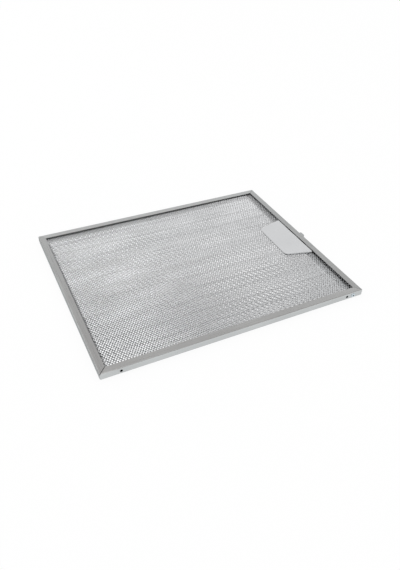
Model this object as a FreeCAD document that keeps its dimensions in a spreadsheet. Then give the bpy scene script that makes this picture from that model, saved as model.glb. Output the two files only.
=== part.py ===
import FreeCAD, Part
import math
import os
import re
import Sketcher

# Cooker hood grease filter. One aluminium strip, folded to a channel and bent round four corners,
# holds five layers of expanded mesh. A handle in the middle of one short side slides on a fixed
# tray and draws a bolt's tongue in through the frame, against a bowed leaf spring.
# The frame is centred on the origin and lies on the plane Z = 0. The tongue points along +X.

SIZES = {
    # The folded frame
    "panel_length": 320,
    "panel_width": 260,
    "panel_depth": 8,
    "sheet": 0.6,
    "flange": 8,
    "bend_radius": 1.2,
    "seam": 0.25,
    "open_seam": 0.7,
    "drain_hole": 2.4,
    "drain_inset": 22,
    # The lap that closes the strip, and its blind rivet
    "lap_gap": 0.15,
    "lap_length": 20,
    "lap_margin": 1.5,
    "rivet_inset": 13.5,
    "rivet_head": 5,
    "rivet_head_height": 0.9,
    "rivet_head_round": 0.7,
    "rivet_shank": 3.2,
    "rivet_tail": 4.2,
    "rivet_tail_length": 1.2,
    "rivet_clearance": 0.05,
    "mandrel": 1.9,
    "mandrel_head": 3,
    "mandrel_head_height": 0.8,
    "mandrel_sink": 0.3,
    # The mesh layers
    "mesh_edge_gap": 3.9,
    "layer_gap": 0.12,
    "face_thickness": 1,
    "face_web": 0.25,
    "strand_pitch_along": 3.12,
    "strand_pitch_across": 4.5,
    "gap_pitch_along": 43.7,
    "gap_pitch_across": 27,
    "gap_length": 24,
    "gap_width": 1,
    "gap_border": 2,
    "inner_thickness": 0.3,
    "nest_step": 0.5,
    "ridge_pitch": 10,
    # The sliding handle, and the bolt with the tongue that hangs from its studs
    "handle_base_width": 82,
    "handle_tip_width": 64,
    "handle_depth": 35.5,
    "handle_gap": 1.2,
    "handle_thickness": 1.5,
    "handle_drop": 0.3,
    "handle_corner": 7,
    "handle_base_corner": 1,
    "handle_edge": 0.4,
    "slide_clearance": 0.25,
    "bar_width": 12,
    "tongue_width": 8,
    "tongue_thickness": 2.8,
    "tongue_reach": 4,
    "tongue_ramp": 1.4,
    "tongue_corner": 0.8,
    "shoulder_gap": 0.2,
    "stud": 4,
    "stud_inset": 5,
    "stud_length": 2,
    "stud_clearance": 0.05,
    "socket_depth": 2.2,
    "slot_clearance": 0.4,
    "hook_spread": 26,
    "hook_thickness": 1.6,
    "hook_length": 6,
    "hook_setback": 2,
    "hook_flex": 1,
    "lip_reach": 0.8,
    "lip_thickness": 0.45,
    # The fixed tray under the handle
    "tray_lift": 0.3,
    "tray_floor": 0.8,
    "tray_wall": 1.2,
    "tray_margin": 3,
    "tray_setback": 0.5,
    "tray_cover": 4.2,
    "tray_clearance": 0.5,
    "ear_spread": 30,
    "ear_width": 12,
    "ear_gap": 0.8,
    "ear_play": 0.2,
    "peg": 2.2,
    "peg_clearance": 0.1,
    "peg_sink": 0.05,
    # The bowed leaf spring
    "spring_span": 48,
    "spring_bow": 8.4,
    "spring_thickness": 0.4,
    "spring_height": 2.4,
    "spring_gap": 0.3,
}

INNER_LAYERS = 3
DOME_STEPS = 3

# Places worked out from the sizes, as formulas
PLACES = {
    "half_length": "panel_length / 2",
    "half_width": "panel_width / 2",
    "mid_depth": "panel_depth / 2",
    "grip": "2 * sheet + lap_gap",
    "rivet_end": "grip + rivet_tail_length",
    "rivet_bore": "mandrel / 2 + rivet_clearance",
    "plate_top": "panel_depth - handle_drop",
    "plate_bottom": "plate_top - handle_thickness",
    "mesh_top": "plate_bottom - slide_clearance",
    "mesh_half_length": "half_length - sheet - mesh_edge_gap",
    "mesh_half_width": "half_width - sheet - mesh_edge_gap",
    "lower_face": "sheet + layer_gap",
    "upper_face": "mesh_top - face_thickness",
    "pack_low": "lower_face + face_thickness + layer_gap",
    "pack_high": "upper_face - layer_gap",
    "handle_base": "half_length - flange - handle_gap",
    "handle_tip": "handle_base - handle_depth",
    "taper": "(handle_base_width - handle_tip_width) / (2 * handle_depth)",
    "tongue_bottom": "plate_bottom - tongue_thickness",
    "tongue_tip": "half_length + tongue_reach",
    "shoulder": "half_length - sheet - shoulder_gap",
    "tray_outer": "handle_base - tray_setback",
    "tray_inner": "handle_tip + tray_cover",
    "floor_bottom": "sheet + tray_lift",
    "floor_top": "floor_bottom + tray_floor",
    "tray_top": "plate_bottom - slide_clearance",
    "ear_outer": "half_length - sheet - ear_gap",
    "ear_bottom": "sheet + ear_play",
    "ear_top": "panel_depth - sheet - ear_play",
    "peg_line": "half_length - flange / 2",
    "spring_radius": "(spring_span * spring_span / 4 + spring_bow * spring_bow) / (2 * spring_bow)",
    "spring_crown": "tray_inner + tray_wall + spring_gap + spring_thickness + spring_bow",
    "spring_low": "(floor_top + plate_bottom - spring_height) / 2",
    "bar_inner": "spring_crown + spring_gap",
    "hook_inner": "bar_inner + hook_setback",
    "hook_outer": "hook_inner + hook_length",
    "lip_bottom": "floor_bottom - slide_clearance - lip_thickness",
}

doc = FreeCAD.newDocument("grease_filter")
sheet = doc.addObject("Spreadsheet::Sheet", "Sizes")
for row, (alias, number) in enumerate(SIZES.items(), start=1):
    sheet.set(f"A{row}", str(number))
    sheet.setAlias(f"A{row}", alias)
doc.recompute()


def sized(formula):
    """Write a formula of size and place names as an expression on the sheet."""

    def cell(match):
        word = match.group(0)
        if word in PLACES:
            return f"({sized(PLACES[word])})"
        return f"Sizes.{word}" if word in SIZES else word

    return re.sub(r"[a-z_]+", cell, formula)


def value(formula):
    return float(sheet.evalExpression(sized(formula)))


def half_span(x, margin):
    """Half the handle's width at x, less a margin, as a formula."""
    return f"handle_base_width / 2 - ({margin}) - taper * (handle_base - ({x}))"


# Helpers that draw sketches and make features from them


def new_body(label):
    return doc.addObject("PartDesign::Body", label)


def new_sketch(body, name, plane, level):
    sketch = body.newObject("Sketcher::SketchObject", f"{body.Name}_{name}")
    support = next(feature for feature in body.Origin.OriginFeatures if feature.Role == plane)
    sketch.AttachmentSupport = [(support, "")]
    sketch.MapMode = "FlatFace"
    sketch.setExpression("AttachmentOffset.Base.z", sized(level))
    return sketch


def hold(sketch, kind, formula, *points):
    number = sketch.addConstraint(Sketcher.Constraint(kind, *points, value(formula)))
    sketch.setExpression(f"Constraints[{number}]", sized(formula))


def add_outline(sketch, corners):
    """Draw a closed outline of straight lines, each corner held by two formulas."""
    points = [FreeCAD.Vector(value(x), value(y), 0) for x, y in corners]
    first = sketch.GeometryCount
    for number, point in enumerate(points):
        after = points[(number + 1) % len(points)]
        sketch.addGeometry(Part.LineSegment(point, after), False)
    for number, (x, y) in enumerate(corners):
        line = first + number
        before = first + (number - 1) % len(points)
        sketch.addConstraint(Sketcher.Constraint("Coincident", before, 2, line, 1))
        hold(sketch, "DistanceX", x, -1, 1, line, 1)
        hold(sketch, "DistanceY", y, -1, 1, line, 1)


def add_rectangle(sketch, x_low, x_high, y_low, y_high):
    add_outline(sketch, [(x_low, y_low), (x_high, y_low), (x_high, y_high), (x_low, y_high)])


def add_mirrored_rectangles(sketch, x_low, x_high, y_low, y_high):
    """Draw a rectangle and its mirror image across the X axis."""
    add_rectangle(sketch, x_low, x_high, y_low, y_high)
    add_rectangle(sketch, x_low, x_high, f"-({y_high})", f"-({y_low})")


def add_circle(sketch, x, y, radius):
    centre = FreeCAD.Vector(value(x), value(y), 0)
    number = sketch.addGeometry(Part.Circle(centre, FreeCAD.Vector(0, 0, 1), value(radius)), False)
    hold(sketch, "DistanceX", x, -1, 1, number, 3)
    hold(sketch, "DistanceY", y, -1, 1, number, 3)
    hold(sketch, "Radius", radius, number)


def pad(body, sketch, height):
    feature = body.newObject("PartDesign::Pad", f"{sketch.Name}_pad")
    feature.Profile = sketch
    feature.setExpression("Length", sized(height))
    doc.recompute()
    return feature


def cut(body, sketch, depth):
    """Cut a sketch out of the body, half the depth to each side of the sketch."""
    before = body.Shape.Volume
    feature = body.newObject("PartDesign::Pocket", f"{sketch.Name}_cut")
    feature.Profile = sketch
    feature.SideType = "Symmetric"
    feature.setExpression("Length", sized(depth))
    doc.recompute()
    if not feature.Shape.Volume < before:
        raise RuntimeError(f"{feature.Name} cut nothing")
    return feature


def revolve(body, sketch):
    feature = body.newObject("PartDesign::Revolution", f"{sketch.Name}_turn")
    feature.Profile = sketch
    feature.ReferenceAxis = (sketch, ["V_Axis"])
    feature.Angle = 360
    doc.recompute()
    return feature


def dress(body, kind, name, test, prop, formula):
    """Round or bevel the edges of the body's last feature that a test picks out."""
    base = body.Tip
    edges = [f"Edge{n}" for n, edge in enumerate(base.Shape.Edges, start=1) if test(edge.BoundBox)]
    if not edges:
        raise RuntimeError(f"{name} found no edges")
    feature = body.newObject(f"PartDesign::{kind}", f"{body.Name}_{name}")
    feature.Base = (base, edges)
    feature.setExpression(prop, sized(formula))
    doc.recompute()
    return feature


def near(first, second):
    return abs(first - second) < 1e-4


def level_at(box, z):
    return near(box.ZMin, z) and near(box.ZMax, z)


def upright(box):
    return near(box.XLength, 0) and near(box.YLength, 0)


# The frame


def make_frame():
    body = new_body("frame")
    inner_x = value("half_length - sheet")
    inner_y = value("half_width - sheet")

    def in_channel(box):
        """True for an edge where two of the channel's inner walls meet."""
        on_end = near(abs(box.XMin), inner_x) and near(abs(box.XMax), inner_x)
        on_side = near(abs(box.YMin), inner_y) and near(abs(box.YMax), inner_y)
        return on_end or on_side

    outline = new_sketch(body, "outline", "XY_Plane", "0")
    add_rectangle(outline, "-half_length", "half_length", "-half_width", "half_width")
    pad(body, outline, "panel_depth")
    dress(body, "Fillet", "folds", lambda box: True, "Radius", "bend_radius")

    channel = new_sketch(body, "channel", "XY_Plane", "mid_depth")
    add_rectangle(
        channel,
        "-half_length + sheet",
        "half_length - sheet",
        "-half_width + sheet",
        "half_width - sheet",
    )
    cut(body, channel, "panel_depth - 2 * sheet")
    window = new_sketch(body, "window", "XY_Plane", "mid_depth")
    add_rectangle(
        window,
        "-half_length + flange",
        "half_length - flange",
        "-half_width + flange",
        "half_width - flange",
    )
    cut(body, window, "2 * panel_depth")
    dress(body, "Fillet", "inner_folds", in_channel, "Radius", "bend_radius - sheet")

    for name, level in (("upper_seams", "panel_depth"), ("lower_seams", "0")):
        seams = new_sketch(body, name, "XY_Plane", level)
        for x_sign, y_sign in ((-1, -1), (1, -1), (1, 1), (-1, 1)):
            add_seam(seams, x_sign, y_sign, "open_seam" if x_sign + y_sign == -2 else "seam")
        cut(body, seams, "2 * bend_radius + sheet")

    lap = new_sketch(body, "lap", "XY_Plane", "lap_margin")
    add_rectangle(
        lap,
        "half_length - lap_length",
        "half_length - sheet / 2",
        "-half_width + sheet + lap_gap",
        "-half_width + grip",
    )
    pad(body, lap, "panel_depth - 2 * lap_margin")
    lap_slit = new_sketch(body, "lap_slit", "XY_Plane", "mid_depth")
    add_rectangle(
        lap_slit,
        "half_length - 2 * bend_radius",
        "half_length + sheet",
        "-half_width + sheet",
        "-half_width + sheet + lap_gap",
    )
    cut(body, lap_slit, "panel_depth - 2 * bend_radius - sheet / 2")

    drains = new_sketch(body, "drains", "XZ_Plane", "half_width")
    for x in ("-half_length + drain_inset", "half_length - drain_inset"):
        add_circle(drains, x, "mid_depth", "drain_hole / 2")
    cut(body, drains, "3 * sheet")
    rivet_hole = new_sketch(body, "rivet_hole", "XZ_Plane", "half_width")
    add_circle(rivet_hole, "half_length - rivet_inset", "mid_depth", "rivet_shank / 2 + rivet_clearance")
    cut(body, rivet_hole, "3 * grip")

    slot = new_sketch(body, "tongue_slot", "YZ_Plane", "half_length")
    add_rectangle(
        slot,
        "-tongue_width / 2 - slot_clearance",
        "tongue_width / 2 + slot_clearance",
        "tongue_bottom - slot_clearance",
        "plate_bottom + slot_clearance",
    )
    cut(body, slot, "3 * sheet")
    peg_holes = new_sketch(body, "peg_holes", "XY_Plane", "panel_depth")
    for y in ("-ear_spread", "ear_spread"):
        add_circle(peg_holes, "peg_line", y, "peg / 2 + peg_clearance")
    cut(body, peg_holes, "3 * sheet")
    return body


def add_seam(sketch, x_sign, y_sign, width):
    """Draw the slit between two mitred lips, along the diagonal of one corner."""
    across = f"{width} / 2 * {math.sqrt(0.5)}"
    corners = []
    inner = "flange + sheet"
    outer = "-sheet"
    for reach, side in ((inner, -1), (outer, -1), (outer, 1), (inner, 1)):
        x = f"{x_sign} * (half_length - ({reach}) + {side} * {across})"
        y = f"{y_sign} * (half_width - ({reach}) - {side} * {across})"
        corners.append((x, y))
    add_outline(sketch, corners)


# The blind rivet, turned about its own Z axis with the head's seat at zero


def place_rivet(body):
    body.Placement.Rotation = FreeCAD.Rotation(FreeCAD.Vector(1, 0, 0), 90)
    body.setExpression("Placement.Base.x", sized("half_length - rivet_inset"))
    body.setExpression("Placement.Base.y", sized("-half_width"))
    body.setExpression("Placement.Base.z", sized("mid_depth"))
    doc.recompute()


def make_rivet():
    body = new_body("frame_rivet")
    profile = new_sketch(body, "profile", "XZ_Plane", "0")
    corners = [
        ("rivet_bore", "rivet_head_height"),
        ("rivet_bore", "-rivet_end"),
        ("rivet_tail / 2", "-rivet_end"),
        ("rivet_tail / 2", "-grip"),
        ("rivet_shank / 2", "-grip"),
        ("rivet_shank / 2", "0"),
        ("rivet_head / 2", "0"),
    ]
    for step in range(DOME_STEPS + 1):
        angle = math.pi / 2 * step / DOME_STEPS
        out = f"rivet_head / 2 - rivet_head_round * {1 - math.cos(angle):.6f}"
        up = f"rivet_head_height - rivet_head_round * {1 - math.sin(angle):.6f}"
        corners.append((out, up))
    add_outline(profile, corners)
    revolve(body, profile)
    place_rivet(body)
    return body


def make_mandrel():
    body = new_body("rivet_mandrel")
    profile = new_sketch(body, "profile", "XZ_Plane", "0")
    stub_top = "rivet_head_height - mandrel_sink"
    head_end = "-rivet_end - mandrel_head_height"
    add_outline(
        profile,
        [
            ("0", stub_top),
            ("0", head_end),
            ("mandrel_head / 2", head_end),
            ("mandrel_head / 2", "-rivet_end"),
            ("mandrel / 2", "-rivet_end"),
            ("mandrel / 2", stub_top),
        ],
    )
    revolve(body, profile)
    place_rivet(body)
    return body


# The mesh layers. Each is one sheet with a notch for the latch tray.


def prism(points, low, height):
    corners = [FreeCAD.Vector(x, y, low) for x, y in points]
    face = Part.Face(Part.makePolygon(corners + corners[:1]))
    return face.extrude(FreeCAD.Vector(0, 0, height))


def notch_points():
    """The corners of the notch: the tray's outline with its clearance, out past the mesh's edge."""
    margin = "tray_margin - tray_clearance"
    inner = "tray_inner - tray_clearance"
    outer = "half_length"
    inner_half = value(half_span(inner, margin))
    outer_half = value(half_span(outer, margin))
    return [
        (value(inner), -inner_half),
        (value(outer), -outer_half),
        (value(outer), outer_half),
        (value(inner), inner_half),
    ]


def notch_tool():
    return prism(notch_points(), 0, value("panel_depth"))


def strand_step():
    """Half a strand's pitch, along X and along Y: the lines of strands run from corner to corner of it."""
    return FreeCAD.Vector(value("strand_pitch_along / 2"), value("strand_pitch_across / 2"), 0)


def across_strands():
    """The way square to the lines of strands, and the distance between two lines."""
    step = strand_step()
    across = FreeCAD.Vector(step.y, -step.x, 0).normalize()
    return across, 2 * step.x * across.x


def ridged_slab(back, valley, ridge):
    """A slab that is flat at the back and has a ridge along each line of strands, wider than the mesh."""
    across, spacing = across_strands()
    along = strand_step().normalize()
    reach = math.hypot(value("mesh_half_length"), value("mesh_half_width")) + spacing
    lines = math.ceil(reach / spacing)
    profile = []
    for line in range(-lines, lines):
        profile.append((line * spacing, ridge))
        profile.append(((line + 0.5) * spacing, valley))
    profile += [(profile[-1][0], back), (profile[0][0], back)]
    corners = [across * place + FreeCAD.Vector(0, 0, z) - along * reach for place, z in profile]
    face = Part.Face(Part.makePolygon(corners + corners[:1]))
    return face.extrude(along * (2 * reach))


def gap_centres(half_x, half_y):
    """The centres of the staggered openings, on the ridges' flanks, clear of the lips and the notch."""
    step = strand_step()
    across, spacing = across_strands()
    pitch_x = 4 * step.x * round(value("gap_pitch_along") / (4 * step.x))
    row_y = 2 * step.y * round(value("gap_pitch_across / 2") / (2 * step.y))
    limit_x = value("half_length - flange - gap_border") - half_x
    limit_y = value("half_width - flange - gap_border") - half_y
    notch_x = notch_points()[0][0] - value("gap_border") - half_x
    notch_y = notch_points()[2][1] + value("gap_border") + half_y
    rows = math.ceil(limit_y / row_y)
    columns = math.ceil(limit_x / pitch_x)
    centres = []
    for row in range(-rows, rows + 1):
        for column in range(-columns, columns + 1):
            on_ridge = FreeCAD.Vector((column + (row % 2) / 2) * pitch_x, row * row_y, 0)
            centre = on_ridge + across * (spacing / 4)
            beside_notch = centre.x > notch_x and abs(centre.y) < notch_y
            if abs(centre.x) <= limit_x and abs(centre.y) <= limit_y and not beside_notch:
                centres.append(centre)
    return centres


def make_face_mesh(label, back, outward):
    """One face of expanded mesh: a sheet with a ridge for each line of strands, and openings between them.

    The back lies against the inner layers, and the ridges point outward, which is up or down.
    """
    half_x = value("mesh_half_length")
    half_y = value("mesh_half_width")
    thickness = value("face_thickness")
    back_level = value(back)
    ridge_level = back_level + outward * thickness
    slab = ridged_slab(back_level, back_level + outward * value("face_web"), ridge_level)
    outline = [(-half_x, -half_y), (half_x, -half_y), (half_x, half_y), (-half_x, half_y)]
    low = min(back_level, ridge_level)
    sheet_solid = prism(outline, low, thickness).cut(notch_tool()).common(slab)

    step = strand_step()
    across, spacing = across_strands()
    length = strand_step().normalize() * value("gap_length / 2")
    width = FreeCAD.Vector(-step.x, step.y, 0) * (value("gap_width / 2") / spacing)
    gaps = []
    for centre in gap_centres(length.x + abs(width.x), length.y + width.y):
        sides = ((-length, -width), (length, -width), (length, width), (-length, width))
        corners = [centre + end + side for end, side in sides]
        gaps.append(prism([(corner.x, corner.y) for corner in corners], low, thickness))
    feature = doc.addObject("Part::Feature", label)
    feature.Shape = sheet_solid.cut(Part.makeCompound(gaps)).Solids[0]
    print(label, "has", len(gaps), "openings")
    return feature


def make_inner_mesh(number):
    """One inner layer: a sheet folded into ridges that run along X and nest in the next layer."""
    half_x = value("mesh_half_length")
    step = value("ridge_pitch / 2")
    folds = math.floor(value("mesh_half_width") / step)
    low = value("pack_low") + (number - 1) * value("nest_step")
    wave = value(f"pack_high - pack_low - inner_thickness - {INNER_LAYERS - 1} * nest_step")
    lower = []
    for fold in range(-folds, folds + 1):
        height = low + wave * (fold % 2)
        lower.append(FreeCAD.Vector(-half_x, fold * step, height))
    rise = FreeCAD.Vector(0, 0, value("inner_thickness"))
    upper = [point + rise for point in reversed(lower)]
    profile = Part.Face(Part.makePolygon(lower + upper + lower[:1]))
    ridged = profile.extrude(FreeCAD.Vector(2 * half_x, 0, 0))
    feature = doc.addObject("Part::Feature", f"inner_mesh_{number}")
    feature.Shape = ridged.cut(notch_tool()).Solids[0]
    return feature


# The latch


def make_handle():
    body = new_body("latch_handle")
    plate = new_sketch(body, "plate", "XY_Plane", "plate_bottom")
    add_outline(
        plate,
        [
            ("handle_tip", "-handle_tip_width / 2"),
            ("handle_base", "-handle_base_width / 2"),
            ("handle_base", "handle_base_width / 2"),
            ("handle_tip", "handle_tip_width / 2"),
        ],
    )
    pad(body, plate, "handle_thickness")
    tip = value("handle_tip")
    base = value("handle_base")
    top = value("plate_top")
    dress(
        body,
        "Fillet",
        "tip_corners",
        lambda box: upright(box) and near(box.XMin, tip),
        "Radius",
        "handle_corner",
    )
    dress(
        body,
        "Fillet",
        "base_corners",
        lambda box: upright(box) and near(box.XMin, base),
        "Radius",
        "handle_base_corner",
    )
    dress(body, "Chamfer", "edge", lambda box: level_at(box, top), "Size", "handle_edge")

    studs = new_sketch(body, "studs", "XY_Plane", "plate_bottom - stud_length")
    add_stud_squares(studs, "stud / 2")
    pad(body, studs, "stud_length")
    legs = new_sketch(body, "legs", "XY_Plane", "lip_bottom")
    add_mirrored_rectangles(legs, "hook_inner", "hook_outer", "hook_spread", "hook_spread + hook_thickness")
    pad(body, legs, "plate_bottom - lip_bottom")
    lips = new_sketch(body, "lips", "XY_Plane", "lip_bottom")
    add_mirrored_rectangles(
        lips, "hook_inner", "hook_outer", "hook_spread", "hook_spread + hook_thickness + lip_reach"
    )
    pad(body, lips, "lip_thickness")
    return body


def add_stud_squares(sketch, half):
    """Draw the two squares on the centre line where the bolt hangs from the handle."""
    for x in ("bar_inner + stud_inset", "handle_base - stud_inset"):
        add_rectangle(sketch, f"{x} - ({half})", f"{x} + ({half})", f"-({half})", half)


def make_bolt():
    body = new_body("latch_bolt")
    bar = new_sketch(body, "bar", "XY_Plane", "tongue_bottom")
    add_rectangle(bar, "bar_inner", "shoulder", "-bar_width / 2", "bar_width / 2")
    pad(body, bar, "tongue_thickness")
    tongue = new_sketch(body, "tongue", "XY_Plane", "tongue_bottom")
    add_rectangle(tongue, "bar_inner", "tongue_tip", "-tongue_width / 2", "tongue_width / 2")
    pad(body, tongue, "tongue_thickness")
    end = value("tongue_tip")
    bottom = value("tongue_bottom")
    dress(
        body,
        "Chamfer",
        "tongue_corners",
        lambda box: upright(box) and near(box.XMin, end),
        "Size",
        "tongue_corner",
    )
    dress(
        body,
        "Chamfer",
        "ramp",
        lambda box: level_at(box, bottom) and near(box.XMin, end) and near(box.XMax, end),
        "Size",
        "tongue_ramp",
    )
    sockets = new_sketch(body, "sockets", "XY_Plane", "plate_bottom")
    add_stud_squares(sockets, "stud / 2 + stud_clearance")
    cut(body, sockets, "2 * socket_depth")
    return body


def tray_outline(sketch, inner, outer, margin):
    """Draw the handle's trapezoid between two places, drawn in by a margin."""
    inner_half = half_span(inner, margin)
    outer_half = half_span(outer, margin)
    add_outline(
        sketch,
        [
            (inner, f"-({inner_half})"),
            (outer, f"-({outer_half})"),
            (outer, outer_half),
            (inner, inner_half),
        ],
    )


def make_tray():
    body = new_body("latch_tray")
    outline = new_sketch(body, "outline", "XY_Plane", "floor_bottom")
    tray_outline(outline, "tray_inner", "tray_outer", "tray_margin")
    pad(body, outline, "tray_top - floor_bottom")
    hollow = new_sketch(body, "hollow", "XY_Plane", "tray_top")
    tray_outline(hollow, "tray_inner + tray_wall", "tray_outer - tray_wall", "tray_margin + tray_wall")
    cut(body, hollow, "2 * (tray_top - floor_top)")
    gate = new_sketch(body, "gate", "XY_Plane", "tray_top")
    bar_half = "bar_width / 2 + slot_clearance"
    add_rectangle(gate, "tray_outer - 2 * tray_wall", "tray_outer + tray_wall", f"-({bar_half})", bar_half)
    cut(body, gate, "2 * (tray_top - floor_top)")
    slots = new_sketch(body, "hook_slots", "XY_Plane", "floor_bottom")
    add_mirrored_rectangles(
        slots,
        "hook_inner - tongue_reach - slide_clearance",
        "hook_outer + slide_clearance",
        "hook_spread - hook_flex",
        "hook_spread + hook_thickness + slide_clearance",
    )
    cut(body, slots, "3 * tray_floor")

    near_edge = "ear_spread - ear_width / 2"
    far_edge = "ear_spread + ear_width / 2"
    ears = new_sketch(body, "ears", "XY_Plane", "ear_bottom")
    add_mirrored_rectangles(ears, "tray_outer - tray_wall", "ear_outer", near_edge, far_edge)
    pad(body, ears, "tray_top - ear_bottom")
    heads = new_sketch(body, "ear_heads", "XY_Plane", "ear_bottom")
    add_mirrored_rectangles(heads, "half_length - flange + ear_play", "ear_outer", near_edge, far_edge)
    pad(body, heads, "ear_top - ear_bottom")
    pegs = new_sketch(body, "pegs", "XY_Plane", "ear_bottom")
    for y in ("-ear_spread", "ear_spread"):
        add_circle(pegs, "peg_line", y, "peg / 2")
    pad(body, pegs, "panel_depth - peg_sink - ear_bottom")
    return body


def make_spring():
    """A leaf bowed round an upright axis: two sectors of one angle, the smaller cut from the larger."""
    half_angle = "asin(spring_span / 2 / spring_radius)"
    sectors = []
    for name, radius in (("outer", "spring_radius"), ("inner", "spring_radius - spring_thickness")):
        sector = doc.addObject("Part::Cylinder", f"spring_{name}")
        sector.setExpression("Radius", sized(radius))
        sector.setExpression("Height", sized("spring_height"))
        sector.setExpression("Angle", sized(f"2 * {half_angle}"))
        sectors.append(sector)
    leaf = doc.addObject("Part::Cut", "latch_spring")
    leaf.Base, leaf.Tool = sectors
    leaf.Placement.Rotation = FreeCAD.Rotation(FreeCAD.Vector(0, 0, 1), -1)
    leaf.setExpression("Placement.Rotation.Angle", sized(f"-{half_angle}"))
    leaf.setExpression("Placement.Base.x", sized("spring_crown - spring_radius"))
    leaf.setExpression("Placement.Base.z", sized("spring_low"))
    doc.recompute()
    return leaf


subparts = [
    make_frame(),
    make_rivet(),
    make_mandrel(),
    make_face_mesh("bottom_mesh", "lower_face + face_thickness", -1),
    make_face_mesh("top_mesh", "upper_face", 1),
    make_tray(),
    make_handle(),
    make_bolt(),
    make_spring(),
]
subparts += [make_inner_mesh(number) for number in range(1, INNER_LAYERS + 1)]
doc.recompute()

# Nothing is written until every object is sound.
for item in doc.Objects:
    if "Invalid" in item.State or "Error" in item.State:
        raise RuntimeError(f"{item.Name} failed: {item.State}")
for piece in subparts:
    if piece.Shape.isNull() or not piece.Shape.isValid() or len(piece.Shape.Solids) != 1:
        raise RuntimeError(f"{piece.Label} is not one sound solid")

os.makedirs("parts", exist_ok=True)
for piece in subparts:
    piece.Shape.exportStep(f"parts/{piece.Label}.step")
    print(f"{piece.Label}: {piece.Shape.Volume:.1f} cubic millimetres")
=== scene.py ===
# %% [markdown]
# # A cooker hood grease filter
#
# The real object is a flat metal cassette. One aluminium strip is folded into a channel and bent
# round four corners, and the channel grips a stack of expanded aluminium mesh. A light grey plastic
# handle in one short side draws a latch tongue in, so that the filter drops out of the hood.
#
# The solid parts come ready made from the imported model. This lesson adds what a solid model can't
# carry well: the thousands of fine strands in the mesh, the finish of each surface, and the light.

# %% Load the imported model
import math

import bpy
from mathutils import Matrix, Vector


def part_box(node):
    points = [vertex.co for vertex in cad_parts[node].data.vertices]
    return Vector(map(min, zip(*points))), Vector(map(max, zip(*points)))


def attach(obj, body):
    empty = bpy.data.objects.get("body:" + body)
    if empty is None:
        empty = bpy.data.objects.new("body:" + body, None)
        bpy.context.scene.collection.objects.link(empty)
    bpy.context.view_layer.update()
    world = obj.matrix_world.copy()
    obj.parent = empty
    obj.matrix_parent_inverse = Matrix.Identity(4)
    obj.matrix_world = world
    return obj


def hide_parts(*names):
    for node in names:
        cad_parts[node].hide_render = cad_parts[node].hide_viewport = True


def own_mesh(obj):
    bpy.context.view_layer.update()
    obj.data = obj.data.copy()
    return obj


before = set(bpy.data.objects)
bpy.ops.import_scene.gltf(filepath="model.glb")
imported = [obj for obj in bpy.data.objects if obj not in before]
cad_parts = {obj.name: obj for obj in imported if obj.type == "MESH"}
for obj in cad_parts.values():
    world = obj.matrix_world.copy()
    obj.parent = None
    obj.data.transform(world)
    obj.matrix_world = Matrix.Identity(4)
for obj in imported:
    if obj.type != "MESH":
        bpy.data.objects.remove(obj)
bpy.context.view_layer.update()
MM = 0.001
print("The packed model has", len(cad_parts), "pieces:", ", ".join(sorted(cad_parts)))

# %% [markdown]
# ## Small helpers
#
# A node tree is easier to read when one line makes one node. `add_node` makes a node and sets its
# options, `join` links two sockets, and `feed` either links a socket or writes a plain number, so that
# the same call works for both. `calculate` does one sum.

# %% Node helpers
def add_node(tree, kind, **options):
    node = tree.nodes.new(kind)
    for name, option in options.items():
        setattr(node, name, option)
    return node


def join(tree, source, target):
    tree.links.new(source, target)


def feed(tree, source, target):
    if isinstance(source, bpy.types.NodeSocket):
        join(tree, source, target)
    else:
        target.default_value = source


def calculate(tree, operation, *terms):
    """One math node; its terms are sockets or numbers."""
    node = add_node(tree, "ShaderNodeMath", operation=operation)
    for number, term in enumerate(terms):
        feed(tree, term, node.inputs[number])
    return node.outputs["Value"]


print("Helpers are ready")

# %% [markdown]
# ## The expanded mesh
#
# Expanded metal isn't woven. A press slits a thin sheet and pulls it open, so every strand is a
# zigzag ribbon that is still one metal with its neighbour along a short bond at each bend. The pull also
# leans the ribbons over, so bonds and legs face different ways: some glint while others look grey.
#
# A picture of diamonds on a flat sheet would look like print, because the light couldn't pass through
# it to the layers underneath. So each strand is real geometry: a straight line of points is copied
# side by side, the points of every second bend step to the left or right, and a small rectangle is
# swept along. Geometry Nodes suit this well, because one tree makes all five layers.

# %% The inputs of the strand tree
COUNT = "NodeSocketInt"
NUMBER = "NodeSocketFloat"
METAL = "NodeSocketMaterial"
STRAND_INPUTS = {
    "Strands": COUNT,
    "Middle": NUMBER,
    "Rows": COUNT,
    "Points per Bend": COUNT,
    "Pitch Along": NUMBER,
    "Pitch Across": NUMBER,
    "Bond Width": NUMBER,
    "Bond Length": NUMBER,
    "Bond Step": NUMBER,
    "Ribbon Width": NUMBER,
    "Ribbon Thickness": NUMBER,
    "Lean": NUMBER,
    "Lean Spread": NUMBER,
    "Edge X": NUMBER,
    "Edge Y": NUMBER,
    "Edge Width": NUMBER,
    "Edge Lean": NUMBER,
    "Edge Fade": NUMBER,
    "Back Width": NUMBER,
    "Back Lean": NUMBER,
    "Level": NUMBER,
    "Ridge Pitch": NUMBER,
    "Ridge Height": NUMBER,
    "Unevenness": NUMBER,
    "Seed": NUMBER,
    "Notch Start": NUMBER,
    "Notch Half Width": NUMBER,
    "Notch Flare": NUMBER,
    "Metal": METAL,
}


def new_shape_tree(name, inputs):
    """A tree with named inputs and a mesh as its output, still without nodes."""
    tree = bpy.data.node_groups.new(name, "GeometryNodeTree")
    for label, kind in inputs.items():
        tree.interface.new_socket(label, in_out="INPUT", socket_type=kind)
    tree.interface.new_socket("Mesh", in_out="OUTPUT", socket_type="NodeSocketGeometry")
    return tree


strand_tree = new_shape_tree("expanded_strands", STRAND_INPUTS)
sizes_in = add_node(strand_tree, "NodeGroupInput").outputs
print("The strand tree has", len(STRAND_INPUTS), "named inputs")

# %% [markdown]
# A grid of points comes first. One line of points runs along the panel, with a place for each strand,
# and a second line runs across it. Copying the second onto each point of the first gives straight
# parallel threads.

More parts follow.
